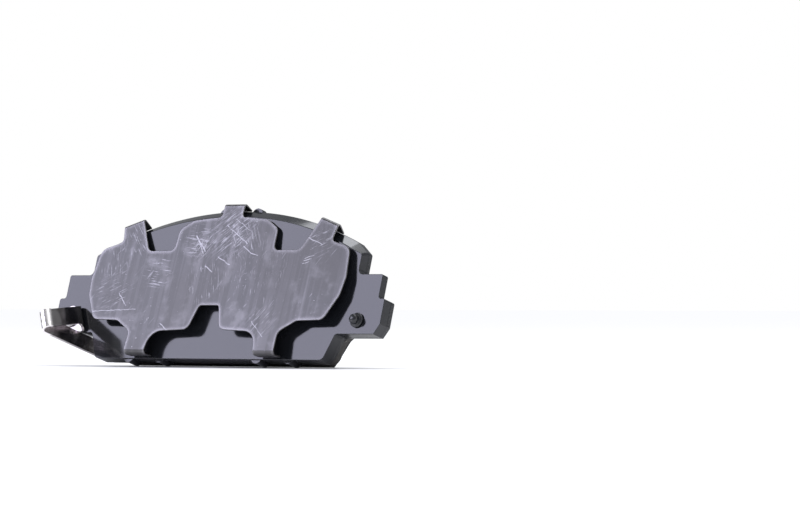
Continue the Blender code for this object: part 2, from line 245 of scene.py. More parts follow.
def both_halves(right_half):
    return right_half + [(-x, z, r) for x, z, r in reversed(right_half) if x > 1e-6]


def arc_z(x, radius):
    return TOP_Z - TOP_R + math.sqrt(radius * radius - x * x)


def upper_arc(radius, x_end, points=28):
    return [(x_end * k / points, arc_z(x_end * k / points, radius), 0.0) for k in range(points + 1)]


def loft(rings):
    bm = bmesh.new()
    rows = [[bm.verts.new((p.x, y, p.y)) for p in points] for points, y in rings]
    count = len(rows[0])
    for low, high in zip(rows, rows[1:]):
        for i in range(count):
            j = (i + 1) % count
            bm.faces.new((low[i], low[j], high[j], high[i]))
    bm.faces.new(rows[0])
    bm.faces.new(rows[-1])
    return bm


# ---------------------------------------------------------------- painted backing plate
def plate_outline(bevel):
    half = upper_arc(TOP_R - bevel, ARC_END_X - 0.35 * bevel)
    half += [
        (BODY_X, SHOULDER_Z - 0.4 * bevel, 1.3),
        (BODY_X, EAR_TOP_Z, 2.0),
        (EAR_NECK_X, EAR_TOP_Z, 0.8),
        (EAR_NECK_X, EAR_STEP_Z, 1.0),
        (EAR_X, EAR_STEP_Z, 0.9),
        (EAR_X, EAR_CORNER_Z, 0.4),
        (EAR_CORNER_X, EAR_LOW_Z, 0.4),
        (SHOULDER_TOP_X, EAR_LOW_Z, 1.2),
        (SHOULDER_LOW_X, PLATE_LOW_Z, 2.4),
        (0.0, PLATE_LOW_Z, 0.0),
    ]
    return rounded(both_halves(half))


def backing_plate():
    full = plate_outline(0.0)
    bm = loft([(plate_outline(BEVEL_Z), 0.0), (full, BEVEL_Y), (full, PLATE_T)])
    plate = piece("painted_backing_plate", bm, FRAME, gloss_black_paint(), "backing_plate", "pad")
    soften(plate, EDGE_BREAK)
    cuts = bmesh.new()
    nibs = bmesh.new()
    for side in (-1, 1):
        ear = sorted((side * (BODY_X + 2.6), side * (EAR_X + 2.0)))
        add_box(cuts, (ear[0], EAR_NECK_T, EAR_STEP_Z + 0.4), (ear[1], PLATE_T + 2.0, EAR_TOP_Z + 2.0))
        add_cylinder(cuts, SPARE_X if side > 0 else -RIVET_X, RIVET_Z, SHANK_R + GAP,
                     -2.0, PLATE_T + 2.0)
        crest = arc_z(TOP_NIB_X, TOP_R) + TOP_NIB_H
        add_cylinder(nibs, side * TOP_NIB_X, crest - NIB_R, NIB_R, BEVEL_Y, PLATE_T)
        for x in LOW_NIB_XS:
            add_cylinder(nibs, side * x, PLATE_LOW_Z - LOW_NIB_H + NIB_R, NIB_R, 0.6, PLATE_T)
    boolean(plate, "ear_reliefs", cuts, FRAME)
    boolean(plate, "locating_nibs", nibs, FRAME, "UNION")
    settle(plate)


# ---------------------------------------------------------------- moulded layers
def moulded_outline(inset, end_x, low_z):
    half = upper_arc(TOP_R - inset, end_x - 7.6)
    half += [
        (end_x, 9.5, 2.0),
        (end_x, -15.0, 1.5),
        (SHOULDER_TOP_X - 0.35 * inset, EAR_LOW_Z - 1.6, 0.5),
        (SHOULDER_LOW_X + 0.3, low_z, 3.2),
        (0.0, low_z, 0.0),
    ]
    return rounded(both_halves(half))


def underlayer():
    start = PLATE_T + GAP
    outline = moulded_outline(UNDERLAYER_INSET, UNDERLAYER_X, UNDERLAYER_LOW_Z)
    bm = loft([(outline, start), (outline, start + UNDERLAYER_T)])
    layer = piece("moulded_underlayer", bm, FRAME, underlayer_compound(), "underlayer", "pad")
    soften(layer, EDGE_BREAK)
    settle(layer)


def end_chamfers(depth):
    """Cutters for the chamfer across each end of the lining."""
    cuts = bmesh.new()
    for side in (-1, 1):
        run = Vector((side * END_CHAMFER_X, -depth))
        away = Vector((side * depth, END_CHAMFER_X)).normalized() * CUT_DEPTH
        first = Vector((side * (LINING_X - END_CHAMFER_X), DISC_FACE)) - run
        last = first + run * 3.0
        foot = [(p.x, p.y, -50.0) for p in (first, last, last + away, first + away)]
        add_prism(cuts, foot, (0.0, 0.0, 100.0))
    return cuts


def lower_corners(depth):
    """Cutters that carry the chamfer on down the slanted lower ends."""
    cuts = bmesh.new()
    for side in (-1, 1):
        corner = Vector((side * LINING_X, END_CHAMFER_START_Y, LOW_CORNER_Z))
        along = Vector((-side * LOW_CORNER_RUN, 0.0, LINING_LOW_Z - LOW_CORNER_Z)).normalized() * CUT_REACH
        run = Vector((-side * END_CHAMFER_X, depth, 0.0)).normalized() * CUT_REACH
        outward = along.cross(run).normalized() * CUT_DEPTH
        if outward.x * side < 0.0:
            outward.negate()
        add_prism(cuts, [corner + p for p in (-along - run, along - run, along + run, run - along)], outward)
    return cuts


def friction_lining():
    start = PLATE_T + 2.0 * GAP + UNDERLAYER_T
    depth = DISC_FACE - END_CHAMFER_START_Y
    outline = moulded_outline(LINING_INSET, LINING_X, LINING_LOW_Z)
    lining = piece("moulded_friction_lining", loft([(outline, start), (outline, DISC_FACE)]), FRAME,
                   friction_compound(), "friction_lining", "pad")
    boolean(lining, "lining_cuts", end_chamfers(depth), FRAME)
    boolean(lining, "lower_corner_cuts", lower_corners(depth), FRAME)
    soften(lining, EDGE_BREAK)
    settle(lining)


# ---------------------------------------------------------------- outer shim
def shim_right_half():
    return [
        (*TOP_TAB, 0.0),
        (TOP_TAB[0], 26.2, 1.5),
        (17.0, 25.1, 5.0),
        (22.8, 21.6, 3.0),
        (23.2, 13.4, 2.2),
        (35.2, 13.4, 3.0),
        (*SIDE_TAB_INNER, 0.0),
        (*SIDE_TAB_OUTER, 0.0),
        (48.6, 16.9, 1.6),
        (57.8, 14.1, 4.0),
        (59.3, 3.0, 6.0),
        (58.4, -3.6, 5.0),
        (53.4, -12.9, 3.4),
        (41.8, -13.2, 4.0),
        (34.6, -17.4, 3.0),
        (*LOW_TAB_OUTER, 0.0),
        (*LOW_TAB_INNER, 0.0),
        (24.2, -17.4, 6.0),
        (7.4, -16.6, 3.2),
        (4.5, -7.5, 1.4),
    ]


def bend_tab(bm, ends, outward, radius, angle, length, steps=14):
    rows = [(radius * math.sin(angle * k / steps), radius * (1.0 - math.cos(angle * k / steps)))
            for k in range(1, steps + 1)]
    out, back = rows[-1]
    rows.append((out + length * math.cos(angle), back + length * math.sin(angle)))
    edge = bm.edges.get(ends)
    was = Vector((0.0, 0.0, 0.0))
    for out, back in rows:
        grown = bmesh.ops.extrude_edge_only(bm, edges=[edge])["geom"]
        moved = [v for v in grown if isinstance(v, bmesh.types.BMVert)]
        now = outward * out + Vector((0.0, back, 0.0))
        bmesh.ops.translate(bm, vec=now - was, verts=moved)
        edge = bm.edges.get(moved)
        was = now


def outer_shim():
    half = shim_right_half()
    points = rounded(half + [(-x, z, r) for x, z, r in reversed(half)])
    bm = bmesh.new()
    ring = [bm.verts.new((p.x, 0.0, p.y - SHEET_Z)) for p in points]
    bm.faces.new(ring)

    def at(side, corner):
        x, z = corner
        return min(ring, key=lambda v: (v.co - Vector((side * x, 0.0, z - SHEET_Z))).length)

    top_hook = dict(radius=0.75, angle=math.radians(104.0), length=3.4)
    side_hook = dict(radius=0.75, angle=math.radians(117.0), length=3.7)
    low_hook = dict(radius=1.5, angle=math.radians(101.0), length=2.7)
    bend_tab(bm, [at(-1, TOP_TAB), at(1, TOP_TAB)], Vector((0.0, 0.0, 1.0)), **top_hook)
    for side in (-1, 1):
        inner, outer = at(side, SIDE_TAB_INNER), at(side, SIDE_TAB_OUTER)
        along = (outer.co - inner.co).normalized()
        bend_tab(bm, [inner, outer], Vector((-along.z, 0.0, along.x)) * side, **side_hook)
        low_edge = [at(side, LOW_TAB_INNER), at(side, LOW_TAB_OUTER)]
        bend_tab(bm, low_edge, Vector((0.0, 0.0, -1.0)), **low_hook)
    shim = piece("scuffed_outer_shim", bm, SHIM_FRAME, scuffed_shim_steel(), "outer_shim", "shim")
    sheet(shim, SHIM_T, bonded_rubber())
    soften(shim, 0.18)
    settle(shim)


def shim_damping_layer():
    half = [
        (0.0, 18.8, 0.0), (21.4, 18.8, 1.5), (21.4, 11.8, 1.5), (57.4, 11.8, 2.0), (57.3, -2.8, 3.0),
        (52.4, -11.4, 2.0), (41.4, -11.8, 3.0), (33.6, -15.6, 2.0), (8.6, -15.2, 2.0), (5.8, -6.2, 1.5),
        (0.0, -6.2, 0.0),
    ]
    near = SHIM_T / 2.0 + GAP
    points = [p - Vector((0.0, SHEET_Z)) for p in rounded(both_halves(half))]
    coat = piece("bonded_rubber_coat", loft([(points, near), (points, near + RUBBER_T)]), SHIM_FRAME,
                 bonded_rubber(), "shim_damping_layer", "shim")
    soften(coat, 0.1)
    settle(coat)


# ---------------------------------------------------------------- wear indicator
def wear_indicator():
    lean = math.radians(24.8)
    across = Vector((math.sin(lean), 0.0, -math.cos(lean)))
    aside = Vector((-math.cos(lean), 0.0, -math.sin(lean)))
    bend_at = Vector((3.1 - RIVET_X, -(GAP + STRIP_T / 2.0), RIVET_Z + 4.8))
    out = Vector((0.0, -1.0, 0.0))
    bend_r, loop_r = 1.2, 2.1
    leg_out, leg_back = 18.4, 26.4
    slant = 0.40

    stations = []
    for k in range(9):
        a = math.radians(90.0 * k / 8.0)
        reach = bend_r * (1.0 - math.cos(a))
        stations.append((reach, bend_r * (1.0 - math.sin(a)), slant * reach, 10.0 - 0.9 * reach))
    for k in range(1, 9):
        reach = bend_r + 1.6 * k / 8.0
        ease = 0.5 - 0.5 * math.cos(math.pi * k / 8.0)
        low = (10.0 - 0.9 * bend_r) * (1.0 - ease) + (slant * reach + STRIP_W) * ease
        stations.append((reach, 0.0, slant * reach, low))
    stations.append((leg_out, 0.0, slant * leg_out, slant * leg_out + STRIP_W))
    turn_end = 185.0
    drift = 0.6
    turns = 24
    for k in range(1, turns + 1):
        a = math.radians(turn_end * k / turns)
        top = slant * leg_out + drift * k / turns
        stations.append((leg_out + loop_r * math.sin(a), loop_r * (1.0 - math.cos(a)), top, top + STRIP_W))
    far_out, far_aside, top, low = stations[-1]
    a = math.radians(turn_end)
    stations.append((far_out + leg_back * math.cos(a), far_aside + leg_back * math.sin(a),
                     top + 0.09 * leg_back, low + 0.09 * leg_back))

    bm = bmesh.new()
    rows = []
    for reach, side, top, low in stations:
        base = out * reach + aside * side
        rows.append([bm.verts.new(base + across * top), bm.verts.new(base + across * low)])
    for a_row, b_row in zip(rows, rows[1:]):
        bm.faces.new((a_row[0], a_row[1], b_row[1], b_row[0]))

    centre = Vector((-RIVET_X, 0.0, RIVET_Z)) - bend_at
    centre.y = 0.0
    tab_r = 4.9
    outline = [rows[0][0]]
    for k in range(33):
        a = math.radians(88.0 + 184.0 * k / 32.0)
        outline.append(bm.verts.new(centre + Vector((math.cos(a), 0.0, math.sin(a))) * tab_r))
    outline.append(rows[0][1])
    bm.faces.new(outline)
    where = FRAME @ Matrix.Translation(bend_at * MM)
    loop = out * (leg_out + 1.0) + aside * loop_r + across * (slant * leg_out + STRIP_W / 2.0)
    strip = piece("bent_wear_indicator", bm, where, plated_spring_steel(loop * MM), "wear_indicator", "pad")
    sheet(strip, STRIP_T)
    hole = bmesh.new()
    add_cylinder(hole, centre.x, centre.z, SHANK_R + GAP, -3.0, 3.0)
    soften(strip, 0.16)
    boolean(strip, "indicator_hole", hole, where)
    settle(strip)


# ---------------------------------------------------------------- rivets
def turned(name, profile, x, material, node):
    bm = bmesh.new()
    points = [bm.verts.new((radius, 0.0, height)) for radius, height in profile]
    edges = [bm.edges.new((a, b)) for a, b in zip(points, points[1:])]
    bmesh.ops.spin(bm, geom=points + edges, cent=(0.0, 0.0, 0.0), axis=(0.0, 0.0, 1.0),
                   angle=math.tau, steps=64)
    bmesh.ops.remove_doubles(bm, verts=bm.verts, dist=0.0005)
    where = (FRAME @ Matrix.Translation(Vector((x, 0.0, RIVET_Z)) * MM)
             @ Matrix.Rotation(math.radians(90.0), 4, "X"))
    made = piece(name, bm, where, material, node, "pad")
    soften(made, 0.1, angle=35.0)
    settle(made)


def rivets():
    back = -(PLATE_T + GAP)
    over_tab = STRIP_T + 2.0 * GAP
    tail = [(SHANK_R, back), (3.3, back), (3.3, back - 0.9), (2.7, back - 1.3), (0.0, back - 1.3)]
    formed = [(0.0, over_tab + 1.02), (0.5, over_tab + 1.0), (0.8, over_tab + 1.16), (1.6, over_tab + 1.2),
              (2.3, over_tab + 1.15), (3.0, over_tab + 0.8), (3.2, over_tab + 0.3), (3.15, over_tab),
              (SHANK_R, over_tab)]
    plain = [(0.0, 3.3), (1.0, 3.2), (1.5, 2.85), (1.75, 2.3), (1.75, 1.15), (2.45, 0.95), (2.65, 0.65),
             (2.65, GAP), (SHANK_R, GAP)]
    turned("formed_indicator_rivet", formed + tail, -RIVET_X, formed_rivet_steel(), "indicator_rivet")
    turned("painted_spare_rivet", plain + tail, SPARE_X, gloss_black_paint(), "spare_rivet")


# ---------------------------------------------------------------- shader helpers
def add(tree, kind, at=(0, 0), **settings):
    made = tree.nodes.new(kind)
    made.location = at
    for key, value in settings.items():
        setattr(made, key, value)
    return made


def feed(tree, target, **inputs):
    """Set or link a node's inputs; underscores in a keyword stand for spaces."""
    for key, value in inputs.items():
        socket = target.inputs[key.replace("_", " ")]
        if isinstance(value, bpy.types.NodeSocket):
            tree.links.new(value, socket)
        else:
            socket.default_value = value


def math_node(tree, operation, a, b=0.0):
    made = add(tree, "ShaderNodeMath", operation=operation)
    for socket, value in zip(made.inputs, (a, b)):
        if isinstance(value, bpy.types.NodeSocket):
            tree.links.new(value, socket)
        else:
            socket.default_value = value
    return made.outputs[0]


def remap(tree, value, low, high, to_low=0.0, to_high=1.0):
    made = add(tree, "ShaderNodeMapRange", interpolation_type="SMOOTHSTEP")
    feed(tree, made, Value=value, From_Min=low, From_Max=high, To_Min=to_low, To_Max=to_high)
    return made.outputs["Result"]


def blend_colour(tree, mask, below, above):
    made = add(tree, "ShaderNodeMix", data_type="RGBA")
    for index, value in ((0, mask), (6, below), (7, above)):
        if isinstance(value, bpy.types.NodeSocket):
            tree.links.new(value, made.inputs[index])
        else:
            made.inputs[index].default_value = (*value, 1.0) if index else value
    return made.outputs[2]


def new_group(name, inputs, outputs):
    """Shader node group with named float or vector inputs and float outputs."""
    tree = bpy.data.node_groups.new(name, "ShaderNodeTree")
    for label, kind, value in inputs:
        socket = tree.interface.new_socket(label, in_out="INPUT", socket_type=kind)
        if value is not None:
            socket.default_value = value
    for label in outputs:
        tree.interface.new_socket(label, in_out="OUTPUT", socket_type="NodeSocketFloat")
    return tree, tree.nodes.new("NodeGroupInput"), tree.nodes.new("NodeGroupOutput")


def use(tree, group, output, **inputs):
    made = add(tree, "ShaderNodeGroup", node_tree=group)
    feed(tree, made, **inputs)
    return made.outputs[output]


# ---------------------------------------------------------------- shared surface effects
def scuff_group():
    """Fine scratches that all run one way: angle about Y, their length and how many there are."""
    tree, given, result = new_group("scuffs", [
        ("Vector", "NodeSocketVector", None), ("Angle", "NodeSocketFloat", 0.0),
        ("Across", "NodeSocketFloat", 1500.0), ("Along", "NodeSocketFloat", 60.0),
        ("Threshold", "NodeSocketFloat", 0.66), ("Seed", "NodeSocketFloat", 0.0)], ["Mask"])
    spun = add(tree, "ShaderNodeVectorRotate", rotation_type="Y_AXIS")
    feed(tree, spun, Vector=given.outputs["Vector"], Angle=given.outputs["Angle"])
    parts = add(tree, "ShaderNodeSeparateXYZ")
    feed(tree, parts, Vector=spun.outputs[0])
    joined = add(tree, "ShaderNodeCombineXYZ")
    feed(tree, joined, X=math_node(tree, "MULTIPLY", parts.outputs["X"], given.outputs["Across"]),
         Y=given.outputs["Seed"], Z=math_node(tree, "MULTIPLY", parts.outputs["Z"], given.outputs["Along"]))
    grain = add(tree, "ShaderNodeTexNoise")
    feed(tree, grain, Vector=joined.outputs[0], Scale=1.0, Detail=2.0, Roughness=0.6, Distortion=0.25)
    high = math_node(tree, "ADD", given.outputs["Threshold"], 0.05)
    feed(tree, result, Mask=remap(tree, grain.outputs["Fac"], given.outputs["Threshold"], high))
    return tree


def patch_group():
    """Soft blotches, for wear that gathers in places."""
    tree, given, result = new_group("patches", [
        ("Vector", "NodeSocketVector", None), ("Scale", "NodeSocketFloat", 40.0),
        ("Low", "NodeSocketFloat", 0.45), ("High", "NodeSocketFloat", 0.65),
        ("Seed", "NodeSocketFloat", 0.0)], ["Mask"])
    moved = add(tree, "ShaderNodeVectorMath", operation="ADD")
    tree.links.new(given.outputs["Vector"], moved.inputs[0])
    tree.links.new(given.outputs["Seed"], moved.inputs[1])
    cloud = add(tree, "ShaderNodeTexNoise")
    feed(tree, cloud, Vector=moved.outputs[0], Scale=given.outputs["Scale"], Detail=4.0, Roughness=0.6)
    feed(tree, result, Mask=remap(tree, cloud.outputs["Fac"], given.outputs["Low"], given.outputs["High"]))
    return tree


def speck_group():
    """Small ragged specks of dust or grit, some cells left empty."""
    tree, given, result = new_group("specks", [
        ("Vector", "NodeSocketVector", None), ("Scale", "NodeSocketFloat", 500.0),
        ("Size", "NodeSocketFloat", 0.2), ("Share", "NodeSocketFloat", 0.3)], ["Mask"])
    ragged = add(tree, "ShaderNodeTexNoise")
    feed(tree, ragged, Vector=given.outputs["Vector"], Scale=2600.0, Detail=2.0)
    push = add(tree, "ShaderNodeVectorMath", operation="SCALE")
    tree.links.new(ragged.outputs["Color"], push.inputs[0])
    push.inputs["Scale"].default_value = 0.0010
    spot = add(tree, "ShaderNodeVectorMath", operation="ADD")
    tree.links.new(given.outputs["Vector"], spot.inputs[0])
    tree.links.new(push.outputs[0], spot.inputs[1])
    cells = add(tree, "ShaderNodeTexVoronoi")
    feed(tree, cells, Vector=spot.outputs[0], Scale=given.outputs["Scale"])
    tint = add(tree, "ShaderNodeSeparateColor")
    feed(tree, tint, Color=cells.outputs["Color"])
    shown = math_node(tree, "LESS_THAN", tint.outputs[0], given.outputs["Share"])
    inside = math_node(tree, "LESS_THAN", cells.outputs["Distance"],
                       math_node(tree, "MULTIPLY", given.outputs["Size"], tint.outputs[1]))
    feed(tree, result, Mask=math_node(tree, "MULTIPLY", shown, inside))
    return tree


def rim_highlight_group():
    """Painted highlight on the edges of a piece: where a rounded normal turns away from the face's own."""
    tree, given, result = new_group("rim_highlights", [("Radius", "NodeSocketFloat", 0.0005)], ["Mask"])
    rolled = add(tree, "ShaderNodeBevel", samples=6)
    feed(tree, rolled, Radius=given.outputs["Radius"])
    surface = add(tree, "ShaderNodeNewGeometry")
    dot = add(tree, "ShaderNodeVectorMath", operation="DOT_PRODUCT")
    tree.links.new(rolled.outputs[0], dot.inputs[0])
    tree.links.new(surface.outputs["Normal"], dot.inputs[1])
    feed(tree, result, Mask=remap(tree, dot.outputs["Value"], 0.995, 0.85))
    return tree


def scratch_group():
    """One thin scratch between two points of the sheet, a little unsteady."""
    tree, given, result = new_group("scratch", [
        ("Vector", "NodeSocketVector", None), ("From", "NodeSocketVector", None),
        ("To", "NodeSocketVector", None), ("Width", "NodeSocketFloat", 0.0002)], ["Mask"])

    def vector(operation, a, b):
        made = add(tree, "ShaderNodeVectorMath", operation=operation)
        for socket, value in zip(made.inputs, (a, b)):
            tree.links.new(value, socket)
        return made

    shake = add(tree, "ShaderNodeTexNoise")
    feed(tree, shake, Vector=given.outputs["Vector"], Scale=420.0, Detail=4.0)
    offset = add(tree, "ShaderNodeVectorMath", operation="SCALE")
    tree.links.new(shake.outputs["Color"], offset.inputs[0])
    offset.inputs["Scale"].default_value = 0.0009
    spot = vector("ADD", given.outputs["Vector"], offset.outputs[0]).outputs[0]
    run = vector("SUBTRACT", given.outputs["To"], given.outputs["From"]).outputs[0]
    reach = vector("SUBTRACT", spot, given.outputs["From"]).outputs[0]
    share = math_node(tree, "DIVIDE", vector("DOT_PRODUCT", reach, run).outputs["Value"],
                      vector("DOT_PRODUCT", run, run).outputs["Value"])
    held = add(tree, "ShaderNodeClamp")
    feed(tree, held, Value=share)
    along = add(tree, "ShaderNodeVectorMath", operation="SCALE")
    tree.links.new(run, along.inputs[0])
    tree.links.new(held.outputs[0], along.inputs["Scale"])
    apart = add(tree, "ShaderNodeVectorMath", operation="MULTIPLY")
    tree.links.new(vector("SUBTRACT", reach, along.outputs[0]).outputs[0], apart.inputs[0])
    apart.inputs[1].default_value = (1.0, 0.0, 1.0)
    far = add(tree, "ShaderNodeVectorMath", operation="LENGTH")
    tree.links.new(apart.outputs[0], far.inputs[0])
    near = math_node(tree, "SUBTRACT", given.outputs["Width"], far.outputs["Value"])
    deep = math_node(tree, "DIVIDE", near, given.outputs["Width"])
    feed(tree, result, Mask=remap(tree, deep, 0.0, 0.6))
    return tree


def worn_spot_group():
    """Soft round area about a point of the sheet, in which finer marks gather."""
    tree, given, result = new_group("worn_spot", [
        ("Vector", "NodeSocketVector", None), ("Centre", "NodeSocketVector", None),
        ("Radius", "NodeSocketFloat", 0.01)], ["Mask"])
    reach = add(tree, "ShaderNodeVectorMath", operation="SUBTRACT")
    tree.links.new(given.outputs["Vector"], reach.inputs[0])
    tree.links.new(given.outputs["Centre"], reach.inputs[1])
    far = add(tree, "ShaderNodeVectorMath", operation="LENGTH")
    tree.links.new(reach.outputs[0], far.inputs[0])
    share = math_node(tree, "DIVIDE", far.outputs["Value"], given.outputs["Radius"])
    feed(tree, result, Mask=remap(tree, share, 1.0, 0.35))
    return tree


SCUFFS = scuff_group()
PATCHES = patch_group()
SPECKS = speck_group()
RIM_HIGHLIGHTS = rim_highlight_group()
SCRATCH = scratch_group()
WORN_SPOT = worn_spot_group()


def new_material(name, **plain):
    """Material with a Principled shader; the keywords are its plain values."""
    made = bpy.data.materials.get(name) or bpy.data.materials.new(name)
    made.use_nodes = True
    tree = made.node_tree
    tree.nodes.clear()
    shader = add(tree, "ShaderNodeBsdfPrincipled", (400, 0))
    out = add(tree, "ShaderNodeOutputMaterial", (700, 0))
    tree.links.new(shader.outputs[0], out.inputs["Surface"])
    feed(tree, shader, **plain)
    where = add(tree, "ShaderNodeTexCoord", (-1200, 0)).outputs["Object"]
    return made, tree, shader, where


def raise_by(tree, shader, height, distance):
    bump = add(tree, "ShaderNodeBump", (200, -300))
    feed(tree, bump, Height=height, Distance=distance, Strength=1.0)
    feed(tree, shader, Normal=bump.outputs[0])


# ---------------------------------------------------------------- finishes
def gloss_black_paint():
    made, tree, shader, where = new_material("gloss_black_paint", Metallic=0.0, IOR=1.52)
    dust = use(tree, SPECKS, "Mask", Vector=where, Scale=520.0, Size=0.14, Share=0.10)
    haze = use(tree, PATCHES, "Mask", Vector=where, Scale=38.0, Low=0.35, High=0.75, Seed=4.0)
    # painted highlight: the plate's rounded edges are lightened in the paint's colour
    highlight_mask = use(tree, RIM_HIGHLIGHTS, "Mask", Radius=0.0005)
    colour = blend_colour(tree, haze, (0.010, 0.011, 0.014), (0.017, 0.018, 0.022))
    colour = blend_colour(tree, math_node(tree, "MULTIPLY", highlight_mask, 0.25), colour, (0.12, 0.12, 0.13))
    colour = blend_colour(tree, math_node(tree, "MULTIPLY", dust, 0.5), colour, (0.30, 0.30, 0.32))
    feed(tree, shader, Base_Color=colour)
    rough = math_node(tree, "ADD", remap(tree, haze, 0.0, 1.0, 0.10, 0.17),
                      math_node(tree, "MULTIPLY", dust, 0.3))

    place_parts = add(tree, "ShaderNodeSeparateXYZ")
    feed(tree, place_parts, Vector=where)
    own = add(tree, "ShaderNodeVectorTransform", vector_type="NORMAL", convert_from="WORLD",
              convert_to="OBJECT")
    feed(tree, own, Vector=add(tree, "ShaderNodeNewGeometry").outputs["Normal"])
    facing = add(tree, "ShaderNodeSeparateXYZ")
    feed(tree, facing, Vector=own.outputs[0])
    on_edge = remap(tree, math_node(tree, "ABSOLUTE", facing.outputs["Y"]), 0.5, 0.3)
    grit = add(tree, "ShaderNodeTexNoise")
    feed(tree, grit, Vector=where, Scale=900.0, Detail=5.0, Roughness=0.7)
    torn_from = PLATE_T * 0.68 * MM
    torn = math_node(tree, "MULTIPLY", on_edge,
                     remap(tree, place_parts.outputs["Y"], torn_from - 0.0004, torn_from + 0.0003))
    feed(tree, shader, Roughness=math_node(tree, "ADD", rough, math_node(tree, "MULTIPLY", on_edge, 0.14)))
    peel = add(tree, "ShaderNodeTexNoise")
    feed(tree, peel, Vector=where, Scale=330.0, Detail=2.0, Roughness=0.5)
    flat = math_node(tree, "MULTIPLY", peel.outputs["Fac"], 0.035)
    edge = math_node(tree, "MULTIPLY", math_node(tree, "MULTIPLY", grit.outputs["Fac"], on_edge), 0.12)
    ragged = math_node(tree, "MULTIPLY", math_node(tree, "MULTIPLY", grit.outputs["Fac"], torn), 0.6)
    height = math_node(tree, "ADD", math_node(tree, "ADD", flat, edge), math_node(tree, "ADD", ragged, dust))
    raise_by(tree, shader, height, 0.00022)
    return made


# scratches across the sheet: x, z of both ends above the plate's centre line, and width, in millimetres
SHEET_SCRATCHES = [
    (-13.7, 19.4, -7.9, 13.5, 0.30), (-12.6, 18.6, -8.6, 12.6, 0.22), (-6.1, 7.8, -2.4, 5.6, 0.24),
    (-1.0, 11.3, 5.0, 8.2, 0.24), (9.5, 15.3, 13.5, 12.7, 0.22), (13.5, 12.7, 17.1, 11.9, 0.19),
    (-0.3, 23.1, 10.8, 16.4, 0.19), (2.8, 25.9, 12.1, 20.4, 0.17), (38.1, 18.4, 45.4, 15.7, 0.23),
    (-55.4, -9.5, -33.8, -8.6, 0.20), (-43.5, -2.5, -38.9, -7.2, 0.24), (-20.2, -14.2, -15.1, -17.5, 0.24),
    (22.1, -13.3, 28.7, -18.9, 0.19), (39.0, 10.6, 42.8, 11.6, 0.22), (38.9, 9.6, 42.0, 10.4, 0.20),
    (38.6, 8.5, 41.3, 9.2, 0.18),
]

# hatched scuffs: centre x, z and radius of the area in millimetres, the way they run, how dense they are
SHEET_SCUFFS = [
    (3.0, 21.0, 13.0, -0.90, 0.53), (8.0, 17.0, 11.0, 0.55, 0.58), (-13.0, 17.0, 7.5, 1.50, 0.55),
    (-9.0, 15.0, 7.0, -0.62, 0.54), (-40.0, 19.0, 9.0, 0.75, 0.58), (-28.0, 5.0, 8.0, 1.45, 0.56),
    (-47.0, -2.0, 11.0, -1.15, 0.60), (-4.0, 2.0, 12.0, 0.30, 0.60), (44.0, 17.0, 8.0, -1.15, 0.60),
    (26.0, -14.0, 8.0, -0.62, 0.57), (20.0, 4.0, 16.0, 0.10, 0.62), (-50.0, 10.0, 10.0, 0.30, 0.60),
]


def on_sheet(x, z):
    """A place on the sheet, in the sheet's own frame and in metres."""
    return Vector((x, 0.0, z - SHEET_Z)) * MM


def lighter_of(tree, masks):
    total = masks[0]
    for mask in masks[1:]:
        total = math_node(tree, "MAXIMUM", total, mask)
    return total


